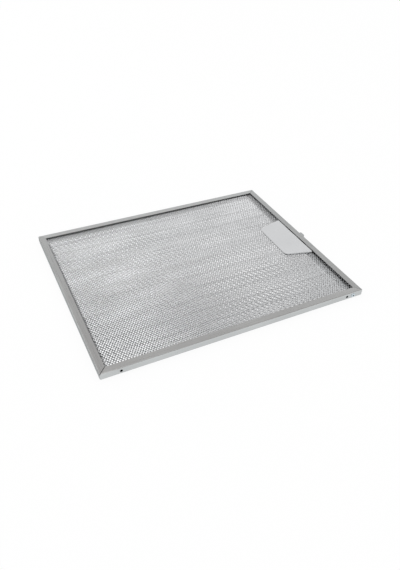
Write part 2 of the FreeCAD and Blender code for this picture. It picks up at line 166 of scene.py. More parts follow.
# %% Straight threads side by side
def vector_of(tree, x, y, z):
    node = add_node(tree, "ShaderNodeCombineXYZ")
    for number, part in enumerate((x, y, z)):
        feed(tree, part, node.inputs[number])
    return node.outputs["Vector"]


def first_place(tree, count, step, middle):
    """Where the first of a row of places lies, when the row is centred on a middle."""
    spaces = calculate(tree, "SUBTRACT", count, 1.0)
    return calculate(tree, "MULTIPLY_ADD", calculate(tree, "MULTIPLY", spaces, step), -0.5, middle)


def line_of_points(tree, count, start, step, along_x):
    line = add_node(tree, "GeometryNodeMeshLine", mode="OFFSET")
    feed(tree, count, line.inputs["Count"])
    for length, socket in ((start, "Start Location"), (step, "Offset")):
        place = vector_of(tree, length, 0.0, 0.0) if along_x else vector_of(tree, 0.0, length, 0.0)
        join(tree, place, line.inputs[socket])
    return line.outputs["Mesh"]


column_step = calculate(strand_tree, "DIVIDE", sizes_in["Pitch Along"], 2.0)
row_step = calculate(strand_tree, "DIVIDE", sizes_in["Pitch Across"], 2.0)
point_step = calculate(strand_tree, "DIVIDE", row_step, sizes_in["Points per Bend"])
point_count = calculate(strand_tree, "MULTIPLY", sizes_in["Rows"], sizes_in["Points per Bend"])
first_column = first_place(strand_tree, sizes_in["Strands"], column_step, sizes_in["Middle"])
first_row = first_place(strand_tree, sizes_in["Rows"], row_step, 0.0)
first_point = first_place(strand_tree, point_count, point_step, 0.0)
columns = line_of_points(strand_tree, sizes_in["Strands"], first_column, column_step, True)
thread = line_of_points(strand_tree, point_count, first_point, point_step, False)
copies = add_node(strand_tree, "GeometryNodeInstanceOnPoints")
join(strand_tree, columns, copies.inputs["Points"])
join(strand_tree, thread, copies.inputs["Instance"])
threads = add_node(strand_tree, "GeometryNodeRealizeInstances")
join(strand_tree, copies.outputs["Instances"], threads.inputs["Geometry"])
print("Threads are laid out")

# %% [markdown]
# Now each point steps sideways. Columns and bends are counted from the point's own place, and where
# their sum is even the point goes one way, and where it is odd the other. Neighbouring threads then
# meet at every second bend, just as slit metal does when it is pulled open. Two points to a bend give
# the bond its length, and a small step in height lets both halves of a bond lie in one leaning plane.

# %% Zigzag and bonds
def parts_of(tree, vector):
    """The X, Y and Z of a vector."""
    node = add_node(tree, "ShaderNodeSeparateXYZ")
    join(tree, vector, node.inputs[0])
    return node.outputs


def count_from(tree, length, first, step):
    past = calculate(tree, "SUBTRACT", length, first)
    return calculate(tree, "ROUND", calculate(tree, "DIVIDE", past, step))


place = add_node(strand_tree, "GeometryNodeInputPosition").outputs["Position"]
parts = parts_of(strand_tree, place)
column = count_from(strand_tree, parts["X"], first_column, column_step)
point = count_from(strand_tree, parts["Y"], first_point, point_step)
bends = calculate(strand_tree, "DIVIDE", point, sizes_in["Points per Bend"])
row = calculate(strand_tree, "FLOOR", bends)
within = calculate(strand_tree, "MODULO", point, sizes_in["Points per Bend"])
odd = calculate(strand_tree, "MODULO", calculate(strand_tree, "ADD", column, row), 2.0)
side = calculate(strand_tree, "MULTIPLY_ADD", odd, 2.0, -1.0)

open_width = calculate(strand_tree, "SUBTRACT", column_step, sizes_in["Bond Width"])
reach = calculate(strand_tree, "DIVIDE", open_width, 2.0)
sideways = calculate(strand_tree, "MULTIPLY", side, reach)
spaces = calculate(strand_tree, "SUBTRACT", sizes_in["Points per Bend"], 1.0)
half_way = calculate(strand_tree, "DIVIDE", spaces, 2.0)
past_half = calculate(strand_tree, "SUBTRACT", within, half_way)
from_bend = calculate(strand_tree, "MULTIPLY", past_half, sizes_in["Bond Length"])
bend_place = calculate(strand_tree, "MULTIPLY_ADD", row, row_step, first_row)
wanted = calculate(strand_tree, "ADD", bend_place, from_bend)
lengthways = calculate(strand_tree, "SUBTRACT", wanted, parts["Y"])
half_step = calculate(strand_tree, "MULTIPLY", sizes_in["Bond Step"], -0.5)
step_down = calculate(strand_tree, "MULTIPLY", side, half_step)
print("Each thread steps from side to side")

# %% [markdown]
# The inner layers are also pressed into ridges. A triangle wave of the distance across the panel lifts
# the points, and a slow noise keeps the sheet from looking machined flat.

# %% Ridges and a little unevenness
NOISE_SCALE = 45.0


def drawn_out(tree, place, stretch):
    """Places squeezed along X, so that a pattern made with them is drawn out that way."""
    squeezed = add_node(tree, "ShaderNodeVectorMath", operation="MULTIPLY")
    join(tree, place, squeezed.inputs[0])
    squeezed.inputs[1].default_value = (stretch, 1.0, 1.0)
    return squeezed.outputs[0]


def slow_noise(tree, place, stretch, scale):
    """A slow noise round zero, with patches that are drawn out along X."""
    noise = add_node(tree, "ShaderNodeTexNoise", noise_dimensions="4D")
    noise.inputs["Scale"].default_value = scale
    join(tree, drawn_out(tree, place, stretch), noise.inputs["Vector"])
    join(tree, sizes_in["Seed"], noise.inputs["W"])
    return calculate(tree, "SUBTRACT", noise.outputs[0], 0.5)


half_ridge = calculate(strand_tree, "DIVIDE", sizes_in["Ridge Pitch"], 2.0)
from_middle = calculate(strand_tree, "ABSOLUTE", parts["Y"])
folds = calculate(strand_tree, "DIVIDE", from_middle, half_ridge)
wave = calculate(strand_tree, "PINGPONG", folds, 1.0)
lift = calculate(strand_tree, "MULTIPLY", wave, sizes_in["Ridge Height"])

swell = slow_noise(strand_tree, place, 1.0, NOISE_SCALE)
uneven = calculate(strand_tree, "MULTIPLY", swell, sizes_in["Unevenness"])
rise = calculate(strand_tree, "ADD", calculate(strand_tree, "ADD", lift, uneven), step_down)
height = calculate(strand_tree, "ADD", sizes_in["Level"], rise)
bend = add_node(strand_tree, "GeometryNodeSetPosition")
join(strand_tree, threads.outputs["Geometry"], bend.inputs["Geometry"])
join(strand_tree, vector_of(strand_tree, sideways, lengthways, height), bend.inputs["Offset"])
print("The threads have their heights")

# %% [markdown]
# The lean isn't even either. A second noise lets it sway by a few degrees, in patches drawn out along
# the sheet, so the glints come and go. Along the right and the far edge the press squeezes the sheet
# down under the lip. The ribbons there lean less and look darker, so a ramp turns them back. The turn is
# strongest at the near end of the right edge and the left end of the far edge, and fades from there.

# %% Lean of the ribbons
LEAN_NOISE_SCALE = 70.0
LEAN_NOISE_STRETCH = 0.2


def edge_lean(tree, length, start, width, turn):
    """Nought before the start, and the full turn one width later."""
    past = calculate(tree, "DIVIDE", calculate(tree, "SUBTRACT", length, start), width)
    ramp = add_node(tree, "ShaderNodeClamp")
    join(tree, past, ramp.inputs["Value"])
    return calculate(tree, "MULTIPLY", ramp.outputs[0], turn)


def fading_lean(tree, length, turn):
    """A turn with its own size in the middle of an edge, larger at one end and smaller at the other."""
    share = calculate(tree, "MULTIPLY_ADD", length, sizes_in["Edge Fade"], 1.0)
    return calculate(tree, "MULTIPLY", share, turn)


sway = slow_noise(strand_tree, place, LEAN_NOISE_STRETCH, LEAN_NOISE_SCALE)
swaying = calculate(strand_tree, "MULTIPLY_ADD", sway, sizes_in["Lean Spread"], sizes_in["Lean"])
right_lean = fading_lean(strand_tree, parts["Y"], sizes_in["Edge Lean"])
back_lean = fading_lean(strand_tree, parts["X"], sizes_in["Back Lean"])
at_right = edge_lean(strand_tree, parts["X"], sizes_in["Edge X"], sizes_in["Edge Width"], right_lean)
at_back = edge_lean(strand_tree, parts["Y"], sizes_in["Edge Y"], sizes_in["Back Width"], back_lean)
lean = calculate(strand_tree, "ADD", swaying, calculate(strand_tree, "MAXIMUM", at_right, at_back))
print("The ribbons have their lean")

# %% [markdown]
# The latch needs room, so the sheets have a notch with flared sides in the middle of one short edge.
# Points inside the notch are deleted before the sweep. Each thread then ends there with a closed end,
# which a cut through finished ribbons wouldn't give.

# %% The notch for the latch
def notch_test(tree):
    """True for a point inside the flared notch."""
    spot = parts_of(tree, add_node(tree, "GeometryNodeInputPosition").outputs["Position"])
    depth = calculate(tree, "SUBTRACT", spot["X"], sizes_in["Notch Start"])
    half = calculate(tree, "MULTIPLY_ADD", depth, sizes_in["Notch Flare"], sizes_in["Notch Half Width"])
    beside = calculate(tree, "ABSOLUTE", spot["Y"])
    past = calculate(tree, "GREATER_THAN", depth, 0.0)
    return calculate(tree, "MULTIPLY", past, calculate(tree, "LESS_THAN", beside, half))


notched = add_node(strand_tree, "GeometryNodeDeleteGeometry", domain="POINT")
join(strand_tree, bend.outputs["Geometry"], notched.inputs["Geometry"])
join(strand_tree, notch_test(strand_tree), notched.inputs["Selection"])
print("The notch is open")

# %% [markdown]
# Last comes the sweep. The curves' normals start out level, so that the lean worked out above is all
# that tilts a ribbon, and the rectangle's sides become the ribbon's faces and edges. The faces are shaded
# flat, because smooth shading would make a flat ribbon gleam like a round wire.

# %% Sweep the ribbons
def keep_level(tree, curve):
    level = add_node(tree, "GeometryNodeSetCurveNormal", mode="Z_UP")
    join(tree, curve, level.inputs["Curve"])
    return level.outputs["Curve"]


def sweep(tree, curve, width, height):
    """A rectangle drawn along a curve, with closed ends."""
    section = add_node(tree, "GeometryNodeCurvePrimitiveQuadrilateral", mode="RECTANGLE")
    join(tree, width, section.inputs["Width"])
    join(tree, height, section.inputs["Height"])
    solid = add_node(tree, "GeometryNodeCurveToMesh")
    join(tree, curve, solid.inputs["Curve"])
    join(tree, section.outputs["Curve"], solid.inputs["Profile Curve"])
    solid.inputs["Fill Caps"].default_value = True
    return solid.outputs["Mesh"]


def end_tree(tree, shape, metal):
    """Make every copy real, give it its metal and hand it out."""
    real = add_node(tree, "GeometryNodeRealizeInstances")
    join(tree, shape, real.inputs["Geometry"])
    paint = add_node(tree, "GeometryNodeSetMaterial")
    join(tree, real.outputs["Geometry"], paint.inputs["Geometry"])
    join(tree, metal, paint.inputs["Material"])
    join(tree, paint.outputs["Geometry"], add_node(tree, "NodeGroupOutput").inputs["Mesh"])


curves = add_node(strand_tree, "GeometryNodeMeshToCurve")
join(strand_tree, notched.outputs["Geometry"], curves.inputs["Mesh"])
tilt = add_node(strand_tree, "GeometryNodeSetCurveTilt")
join(strand_tree, keep_level(strand_tree, curves.outputs["Curve"]), tilt.inputs["Curve"])
join(strand_tree, lean, tilt.inputs["Tilt"])
ribbon_sides = sizes_in["Ribbon Width"], sizes_in["Ribbon Thickness"]
ribbons = sweep(strand_tree, tilt.outputs["Curve"], *ribbon_sides)
flat = add_node(strand_tree, "GeometryNodeSetShadeSmooth")
flat.inputs["Shade Smooth"].default_value = False
join(strand_tree, ribbons, flat.inputs["Geometry"])
end_tree(strand_tree, flat.outputs["Geometry"], sizes_in["Metal"])
print("The strand tree is whole, with", len(strand_tree.nodes), "nodes")

# %% [markdown]
# ## Shared surface effects
#
# What several materials share is a small node group, built once and placed in each material with its
# own values. All of these effects start from noise. Noise crowds round its middle, so `rescale` spreads
# it over the range that is wanted.

# %% Effect helpers
VECTOR = "NodeSocketVector"


def new_effect(name, inputs, outputs):
    group = bpy.data.node_groups.new(name, "ShaderNodeTree")
    for label, kind in inputs.items():
        group.interface.new_socket(label, in_out="INPUT", socket_type=kind)
    for label in outputs:
        group.interface.new_socket(label, in_out="OUTPUT", socket_type=NUMBER)
    return group, add_node(group, "NodeGroupInput").outputs, add_node(group, "NodeGroupOutput").inputs


def noise_value(tree, vector, scale, detail, roughness=0.5):
    node = add_node(tree, "ShaderNodeTexNoise")
    join(tree, vector, node.inputs["Vector"])
    feed(tree, scale, node.inputs["Scale"])
    node.inputs["Detail"].default_value = detail
    node.inputs["Roughness"].default_value = roughness
    return node.outputs[0]


def rescale(tree, source, low, high, source_low=0.3, source_high=0.7):
    """Spread a value over a new range. Most noise lies between the source limits that are set here."""
    node = add_node(tree, "ShaderNodeMapRange")
    join(tree, source, node.inputs["Value"])
    node.inputs["From Min"].default_value = source_low
    node.inputs["From Max"].default_value = source_high
    feed(tree, low, node.inputs["To Min"])
    feed(tree, high, node.inputs["To Max"])
    return node.outputs[0]


print("Effect helpers are ready")

# %% [markdown]
# Rolled metal carries fine lines along the way it was rolled. Metal and plastic alike have a slow
# change of tone over a few centimetres, and moulded plastic has a fine grain. A mesh that was pressed
# together with its neighbours keeps a few shallow creases, which wander a little.

# %% Effect groups
CREASE_DRIFT_SCALE = 16.0
CREASE_CORE = 0.02
CREASE_EDGE = 0.08


def rolled_lines_group():
    group, given, result = new_effect(
        "rolled_lines",
        {"Vector": VECTOR, "Per Metre Along": NUMBER, "Per Metre Across": NUMBER},
        ["Lines"],
    )
    across = given["Per Metre Across"]
    stretch = vector_of(group, given["Per Metre Along"], across, across)
    scaled = add_node(group, "ShaderNodeVectorMath", operation="MULTIPLY")
    join(group, given["Vector"], scaled.inputs[0])
    join(group, stretch, scaled.inputs[1])
    lines = noise_value(group, scaled.outputs[0], scale=1.0, detail=3.0)
    join(group, rescale(group, lines, 0.0, 1.0), result["Lines"])
    return group


def cloudy_tone_group():
    group, given, result = new_effect(
        "cloudy_tone",
        {"Vector": VECTOR, "Scale": NUMBER, "Low": NUMBER, "High": NUMBER},
        ["Tone"],
    )
    cloud = noise_value(group, given["Vector"], given["Scale"], detail=3.0, roughness=0.55)
    join(group, rescale(group, cloud, given["Low"], given["High"]), result["Tone"])
    return group


def moulded_grain_group():
    inputs = {"Vector": VECTOR, "Scale": NUMBER}
    group, given, result = new_effect("moulded_grain", inputs, ["Height"])
    join(group, noise_value(group, given["Vector"], given["Scale"], detail=2.0), result["Height"])
    return group


def pressed_lines_group():
    group, given, result = new_effect(
        "pressed_lines",
        {"Vector": VECTOR, "Spacing": NUMBER, "Wander": NUMBER},
        ["Line"],
    )
    noise = noise_value(group, given["Vector"], CREASE_DRIFT_SCALE, detail=1.0)
    drift = calculate(group, "SUBTRACT", noise, 0.5)
    parts = parts_of(group, given["Vector"])
    across = calculate(group, "MULTIPLY_ADD", drift, given["Wander"], parts["Y"])
    turns = calculate(group, "DIVIDE", across, given["Spacing"])
    away = calculate(group, "PINGPONG", turns, 0.5)
    join(group, rescale(group, away, 1.0, 0.0, CREASE_CORE, CREASE_EDGE), result["Line"])
    return group


ROLLED_LINES = rolled_lines_group()
PRESSED_LINES = pressed_lines_group()
CLOUDY_TONE = cloudy_tone_group()
MOULDED_GRAIN = moulded_grain_group()
print("Effects:", ROLLED_LINES.name, PRESSED_LINES.name, CLOUDY_TONE.name, MOULDED_GRAIN.name)

# %% [markdown]
# ## Materials
#
# Every material starts from one Principled shader. What is the same all over a surface is written
# straight onto the shader, and only what changes from place to place comes through nodes.

# %% Material helpers
def empty_tree(owner):
    """The node tree of a material or a world, with nothing in it."""
    owner.use_nodes = True
    owner.node_tree.nodes.clear()
    return owner.node_tree


def new_material(name, metallic, roughness):
    material = bpy.data.materials.new(name)
    tree = empty_tree(material)
    shader = add_node(tree, "ShaderNodeBsdfPrincipled")
    shader.inputs["Metallic"].default_value = metallic
    shader.inputs["Roughness"].default_value = roughness
    join(tree, shader.outputs["BSDF"], add_node(tree, "ShaderNodeOutputMaterial").inputs["Surface"])
    return material, tree, shader


def object_place(tree):
    return add_node(tree, "ShaderNodeTexCoord").outputs["Object"]


def effect(tree, group, **values):
    """Place an effect group; an underscore in a value's name stands for a space."""
    node = add_node(tree, "ShaderNodeGroup", node_tree=group)
    for name, value in values.items():
        feed(tree, value, node.inputs[name.replace("_", " ")])
    return node.outputs[0]


def mix_colours(tree, share, first, second):
    node = add_node(tree, "ShaderNodeMix", data_type="RGBA")
    colour_sockets = [socket for socket in node.inputs if socket.type == "RGBA"]
    feed(tree, share, node.inputs["Factor"])
    for socket, colour in zip(colour_sockets, (first, second)):
        feed(tree, colour, socket)
    return next(socket for socket in node.outputs if socket.type == "RGBA")


def grey(level, tint=(1.0, 1.0, 1.0)):
    return tuple(level * part for part in tint) + (1.0,)


def add_bump(tree, shader, height, distance, strength):
    bump = add_node(tree, "ShaderNodeBump")
    bump.inputs["Strength"].default_value = strength
    bump.inputs["Distance"].default_value = distance
    join(tree, height, bump.inputs["Height"])
    join(tree, bump.outputs["Normal"], shader.inputs["Normal"])


print("Material helpers are ready")

# %% [markdown]
# The frame is mill finish aluminium: satin, a little warm, with rolling lines along the strip. The strip
# turns at each corner, so the lines have to turn as well. A point belongs to a short side when it lies
# further out along X than the mitre through the corner allows, and there X and Y change places. A second
# material on the short sides would do too, but its values would have to be kept in step by hand.

# %% Sides of the frame
def short_side(tree, place):
    """One on the two short sides of the frame, nought on the long ones."""
    low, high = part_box("frame")
    mitre = (high.x - low.x) / 2 - (high.y - low.y) / 2
    parts = parts_of(tree, place)
    out_x = calculate(tree, "SUBTRACT", calculate(tree, "ABSOLUTE", parts["X"]), mitre)
    out_y = calculate(tree, "ABSOLUTE", parts["Y"])
    return calculate(tree, "GREATER_THAN", out_x, out_y)


def along_the_strip(tree, place, on_short_side):
    """Object coordinates with X turned to run along the strip on every side of the frame."""
    parts = parts_of(tree, place)
    turned = vector_of(tree, parts["Y"], parts["X"], parts["Z"])
    choose = add_node(tree, "ShaderNodeMix", data_type="VECTOR")
    vector_sockets = [socket for socket in choose.inputs if socket.type == "VECTOR"]
    join(tree, on_short_side, choose.inputs["Factor"])
    join(tree, place, vector_sockets[-2])
    join(tree, turned, vector_sockets[-1])
    return next(socket for socket in choose.outputs if socket.type == "VECTOR")


print("The strip can be followed round its corners")

# %% [markdown]
# The inside of the channel gets hardly any light, so it is painted dark as painted shade. It is told apart
# by place alone, as the room between the lips. The painted shade is darker low down. The bottom is nearly
# black at the front and lighter at the back and on the left. The bores of the drain holes, and a rim round
# them, are painted as dark as the front, so that the holes read black.

# %% Painted shade by place
SHADE_DARK_UP_TO_Y = -50 * MM
SHADE_LIGHT_FROM_Y = 60 * MM
SHADE_LIGHT_UP_TO_X = -150 * MM
SHADE_DARK_FROM_X = -142 * MM
DRAIN_INSET = 22 * MM
DRAIN_RIM = 1.55 * MM
SKIN = 0.3 * MM


def between(tree, length, low, high):
    above = calculate(tree, "GREATER_THAN", length, low)
    return calculate(tree, "MULTIPLY", above, calculate(tree, "LESS_THAN", length, high))


def inside_channel(tree, place, reach):
    """One inside the folded channel, up to a reach from its outside, nought elsewhere."""
    low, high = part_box("frame")
    parts = parts_of(tree, place)
    within = between(tree, parts["Z"], low.z + SKIN, high.z - SKIN)
    past = []
    for axis, outside in (("X", high.x), ("Y", high.y)):
        length = calculate(tree, "ABSOLUTE", parts[axis])
        under_skin = calculate(tree, "LESS_THAN", length, outside - SKIN)
        within = calculate(tree, "MULTIPLY", within, under_skin)
        past.append(calculate(tree, "GREATER_THAN", length, outside - reach))
    return calculate(tree, "MULTIPLY", within, calculate(tree, "MAXIMUM", *past))


def lighter_shade_side(tree, place):
    """One at the back and the left, nought at the front, where the painted shade is darkest."""
    parts = parts_of(tree, place)
    back = rescale(tree, parts["Y"], 0.0, 1.0, SHADE_DARK_UP_TO_Y, SHADE_LIGHT_FROM_Y)
    left = rescale(tree, parts["X"], 1.0, 0.0, SHADE_LIGHT_UP_TO_X, SHADE_DARK_FROM_X)
    return calculate(tree, "MAXIMUM", back, left)


def round_drains(tree, place):
    """One in the bore of a drain hole and on its rim, nought elsewhere."""
    low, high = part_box("frame")
    parts = parts_of(tree, place)
    out = calculate(tree, "ABSOLUTE", parts["X"])
    aside = calculate(tree, "SUBTRACT", out, high.x - DRAIN_INSET)
    above = calculate(tree, "SUBTRACT", parts["Z"], (low.z + high.z) / 2)
    square = calculate(tree, "MULTIPLY", above, above)
    away = calculate(tree, "SQRT", calculate(tree, "MULTIPLY_ADD", aside, aside, square))
    in_front = calculate(tree, "LESS_THAN", parts["Y"], 0.0)
    return calculate(tree, "MULTIPLY", in_front, calculate(tree, "LESS_THAN", away, DRAIN_RIM))


print("Painted shade reaches", round(DRAIN_RIM / MM, 2), "mm round the middle of a drain hole")

# %% [markdown]
# Now the finish itself. The short sides are painted a little darker, as painted shade for the light that
# falls across their rolling lines. Clean metal turns almost white when it is seen at a low angle. The thin
# film on a used frame holds that back, and a grey specular tint does the same here.

# %% Frame aluminium
FRAME_TINT = (1.0, 0.99, 0.981)
FRAME_LIGHT = grey(0.66, FRAME_TINT)
FRAME_DARK = grey(0.505, FRAME_TINT)
EVEN_SHARE = 0.42
LINES_SHARE = 0.2
CLOUD_SHARE = 0.36
FRAME_CLOUD_SCALE = 14.0
ACROSS_THE_LIGHT = 0.45
GRAZING = grey(0.5)
DARK_SHADE_TOP = grey(0.2)
LIGHT_SHADE_TOP = grey(0.8)
DARK_SHADE_BOTTOM = grey(0.012)
LIGHT_SHADE_BOTTOM = grey(0.36)
CHANNEL_DARK_UP_TO = 3.4 * MM
CHANNEL_LIGHT_FROM = 5.2 * MM
LIP = 7.95 * MM
FRAME_LINES_ALONG = 22.0
FRAME_LINES_ACROSS = 2600.0
FRAME_LINE_DEPTH = 0.01 * MM
FRAME_ROUGHNESS = 0.3
FRAME_GLOSSIEST = 0.26
FRAME_DULLEST = 0.36


def make_frame_aluminium():
    material, tree, shader = new_material("frame_aluminium", 1.0, FRAME_ROUGHNESS)
    shader.inputs["Specular Tint"].default_value = GRAZING
    place = object_place(tree)
    across = short_side(tree, place)
    lines = effect(
        tree,
        ROLLED_LINES,
        Vector=along_the_strip(tree, place, across),
        Per_Metre_Along=FRAME_LINES_ALONG,
        Per_Metre_Across=FRAME_LINES_ACROSS,
    )
    cloud = effect(tree, CLOUDY_TONE, Vector=place, Scale=FRAME_CLOUD_SCALE, Low=0.0, High=1.0)
    clouded = calculate(tree, "MULTIPLY", cloud, CLOUD_SHARE)
    tone = calculate(tree, "MULTIPLY_ADD", lines, LINES_SHARE, clouded)
    share = calculate(tree, "ADD", tone, EVEN_SHARE)
    # The short sides are painted darker: painted shade for light that falls across their lines.
    with_side_shade = calculate(tree, "MULTIPLY_ADD", across, -ACROSS_THE_LIGHT, share)
    outside = mix_colours(tree, with_side_shade, FRAME_DARK, FRAME_LIGHT)
    height = parts_of(tree, place)["Z"]
    # Inside the channel the colour is painted shade: darker low down and at the front.
    depth = rescale(tree, height, 0.0, 1.0, CHANNEL_DARK_UP_TO, CHANNEL_LIGHT_FROM)
    lighter_shade = lighter_shade_side(tree, place)
    top = mix_colours(tree, lighter_shade, DARK_SHADE_TOP, LIGHT_SHADE_TOP)
    bottom = mix_colours(tree, lighter_shade, DARK_SHADE_BOTTOM, LIGHT_SHADE_BOTTOM)
    inside = mix_colours(tree, depth, bottom, top)
    folded = mix_colours(tree, inside_channel(tree, place, LIP), outside, inside)
    # The drain bores and a rim round them are painted as dark as the channel's front: painted shade.
    everywhere = mix_colours(tree, round_drains(tree, place), folded, DARK_SHADE_BOTTOM)
    join(tree, everywhere, shader.inputs["Base Color"])
    gloss = rescale(tree, lines, FRAME_GLOSSIEST, FRAME_DULLEST, 0.0, 1.0)
    join(tree, gloss, shader.inputs["Roughness"])
    add_bump(tree, shader, lines, FRAME_LINE_DEPTH, strength=0.4)
    return material


FRAME_ALUMINIUM = make_frame_aluminium()
print("Made", FRAME_ALUMINIUM.name)

# %% [markdown]
# The mesh is thin bright foil. Its strands mirror the room in a thousand directions, so the base colour
# stays light. A slow cloudiness, drawn out along the sheet, stands for the film and the dents that
# handling leaves. The foil is painted darker along its creases and under the lips, darkest at the front,
# as painted shade. The inner layers are painted darker than the face sheets, as painted shade deep in the
# stack.

# %% Mesh aluminium
FOIL_TINT = (0.988, 0.992, 1.004)
FOIL_CLOUD_STRETCH = 0.35
FOIL_CLOUD_SCALE = 32.0
FOIL_CLOUD_RANGE = {"Low": 0.15, "High": 0.85}
FOIL_DULLER = 0.08
FOIL_GLOSSIER = 0.06
DARK_SHADE_FOIL = grey(0.12)
LIGHT_SHADE_FOIL = grey(0.72)
GRIP = 6 * MM
CREASE_SPACING = 21 * MM
CREASE_WANDER = 12 * MM
CREASE_SHADE = 0.6


def make_mesh_aluminium(name, dark, light, roughness):
    """Foil with a light and a dark tone, with painted shade along its creases and under the lips."""
    material, tree, shader = new_material(name, 1.0, roughness)
    place = object_place(tree)
    patches = drawn_out(tree, place, FOIL_CLOUD_STRETCH)
    cloud = effect(tree, CLOUDY_TONE, Vector=patches, Scale=FOIL_CLOUD_SCALE, **FOIL_CLOUD_RANGE)
    crease = effect(tree, PRESSED_LINES, Vector=place, Spacing=CREASE_SPACING, Wander=CREASE_WANDER)
    # The creases darken the foil's colour: painted shade along crease lines.
    shade = calculate(tree, "MULTIPLY_ADD", crease, -CREASE_SHADE, cloud)
    bright = mix_colours(tree, shade, grey(dark, FOIL_TINT), grey(light, FOIL_TINT))
    # Under the lips the foil is painted dark: painted shade, darkest at the front.
    shade_under_lips = mix_colours(tree, lighter_shade_side(tree, place), DARK_SHADE_FOIL, LIGHT_SHADE_FOIL)
    everywhere = mix_colours(tree, inside_channel(tree, place, GRIP), bright, shade_under_lips)
    join(tree, everywhere, shader.inputs["Base Color"])
    gloss = rescale(tree, cloud, roughness + FOIL_DULLER, roughness - FOIL_GLOSSIER, 0.0, 1.0)
    join(tree, gloss, shader.inputs["Roughness"])
    return material


FACE_FOIL = make_mesh_aluminium("face_foil", dark=0.71, light=0.86, roughness=0.22)
# The inner layers are painted darker than the face sheets: painted shade deep in the stack.
SHADED_INNER_FOIL = make_mesh_aluminium("shaded_inner_foil", dark=0.37, light=0.46, roughness=0.32)
print("Made", FACE_FOIL.name, "and", SHADED_INNER_FOIL.name)

# %% [markdown]
# The rivet is bright and a little blue beside the frame, and the mandrel that was snapped off in its bore
# is painted near black, as painted shade in the bore. The leaf spring under the handle is rolled steel
# strip.

# %% Rivet, mandrel and spring metals
GLOSSIER = 0.05
DULLER = 0.07


def make_small_metal(name, tones, tint, roughness, lines_along, lines_across):
    """Metal with a dark and a light tone in fine lines, so many to the metre each way."""
    material, tree, shader = new_material(name, 1.0, roughness)
    lines = effect(
        tree,
        ROLLED_LINES,
        Vector=object_place(tree),
        Per_Metre_Along=lines_along,
        Per_Metre_Across=lines_across,
    )
    dark, light = (grey(tone, tint) for tone in tones)
    join(tree, mix_colours(tree, lines, dark, light), shader.inputs["Base Color"])
    gloss = rescale(tree, lines, roughness - GLOSSIER, roughness + DULLER, 0.0, 1.0)
    join(tree, gloss, shader.inputs["Roughness"])
    return material


RIVET_METAL = make_small_metal(
    "rivet_metal", (0.62, 0.82), (0.88, 0.95, 1.0), roughness=0.2, lines_along=900.0, lines_across=900.0
)
# The mandrel is painted near black: painted shade in the rivet's bore.
MANDREL_SHADE_METAL = make_small_metal(
    "mandrel_metal", (0.05, 0.12), (0.9, 0.95, 1.0), roughness=0.5, lines_along=1500.0, lines_across=1500.0
)
SPRING_METAL = make_small_metal(
    "spring_metal", (0.4, 0.52), (1.0, 1.0, 1.0), roughness=0.32, lines_along=3000.0, lines_across=150.0
)
print("Made", RIVET_METAL.name, MANDREL_SHADE_METAL.name, "and", SPRING_METAL.name)

# %% [markdown]
# The handle is satin plastic in a light, slightly cool grey. The bolt that carries the tongue and the
# tray under the handle are a darker grade. A grain far finer than a millimetre breaks up the gloss.

# %% Plastics
PLASTIC_CLOUD_SCALE = 38.0
GRAIN_SCALE = 2800.0
GRAIN_DEPTH = 0.03 * MM


def make_plastic(name, tones, tint, roughness):
    """Plastic that drifts between a dark and a light tone, with a fine grain."""
    material, tree, shader = new_material(name, 0.0, roughness)
    place = object_place(tree)
    cloud = effect(tree, CLOUDY_TONE, Vector=place, Scale=PLASTIC_CLOUD_SCALE, Low=0.0, High=1.0)
    grain = effect(tree, MOULDED_GRAIN, Vector=place, Scale=GRAIN_SCALE)
    dark, light = (grey(tone, tint) for tone in tones)
    join(tree, mix_colours(tree, cloud, dark, light), shader.inputs["Base Color"])
    gloss = rescale(tree, grain, roughness - GLOSSIER, roughness + DULLER)
    join(tree, gloss, shader.inputs["Roughness"])
    add_bump(tree, shader, grain, GRAIN_DEPTH, strength=0.35)
    return material


HANDLE_PLASTIC = make_plastic("handle_plastic", (0.595, 0.625), (0.985, 0.995, 1.01), roughness=0.42)
BOLT_PLASTIC = make_plastic("bolt_plastic", (0.40, 0.44), (0.98, 1.0, 1.01), roughness=0.46)
TRAY_PLASTIC = make_plastic("tray_plastic", (0.36, 0.40), (1.0, 1.0, 1.0), roughness=0.48)
print("Made", HANDLE_PLASTIC.name, BOLT_PLASTIC.name, "and", TRAY_PLASTIC.name)

# %% [markdown]
# ## Make the five layers
#
# The face sheets are a fine mesh and the three inner layers a coarser one, pressed into ridges 10 mm
# apart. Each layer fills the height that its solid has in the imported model, so nothing grows out of the
# frame. A ribbon that leans stands taller than it is thick, and that height comes off first.

# %% Sizes of the mesh
LEAN = math.radians(-27)
LEAN_SPREAD = math.radians(4.5)
EDGE_LEAN = math.radians(25.5)
EDGE_FADE_PER_METRE = -2.6
EDGE_BAND = 17 * MM
EDGE_WIDTH = 9 * MM
BACK_LEAN = math.radians(15)
BACK_BAND = 15.5 * MM
BACK_WIDTH = 2 * MM
RIDGE_PITCH = 10 * MM
FACE_RIBBON = 0.8 * MM
FACE_BOND = 0.96 * FACE_RIBBON
INNER_RIBBON = 1.0 * MM
INNER_BOND = 0.24 * INNER_RIBBON
FACE_MESH = {
    "Pitch Along": 3.12 * MM,
    "Pitch Across": 4.5 * MM,
    "Points per Bend": 2,
    "Bond Width": FACE_BOND * math.cos(LEAN),
    "Bond Length": 0.9 * MM,
    "Bond Step": FACE_BOND * math.sin(abs(LEAN)),
    "Ribbon Width": FACE_RIBBON,
    "Ribbon Thickness": 0.18 * MM,
    "Unevenness": 0.1 * MM,
    "Metal": FACE_FOIL,
}
INNER_MESH = {
    "Pitch Along": 6.3 * MM,
    "Pitch Across": 5.8 * MM,
    "Points per Bend": 1,
    "Bond Width": INNER_BOND,
    "Bond Length": 0.0,
    "Bond Step": 0.0,
    "Ribbon Width": INNER_RIBBON,
    "Ribbon Thickness": 0.16 * MM,
    "Unevenness": 0.2 * MM,
    "Metal": SHADED_INNER_FOIL,
}
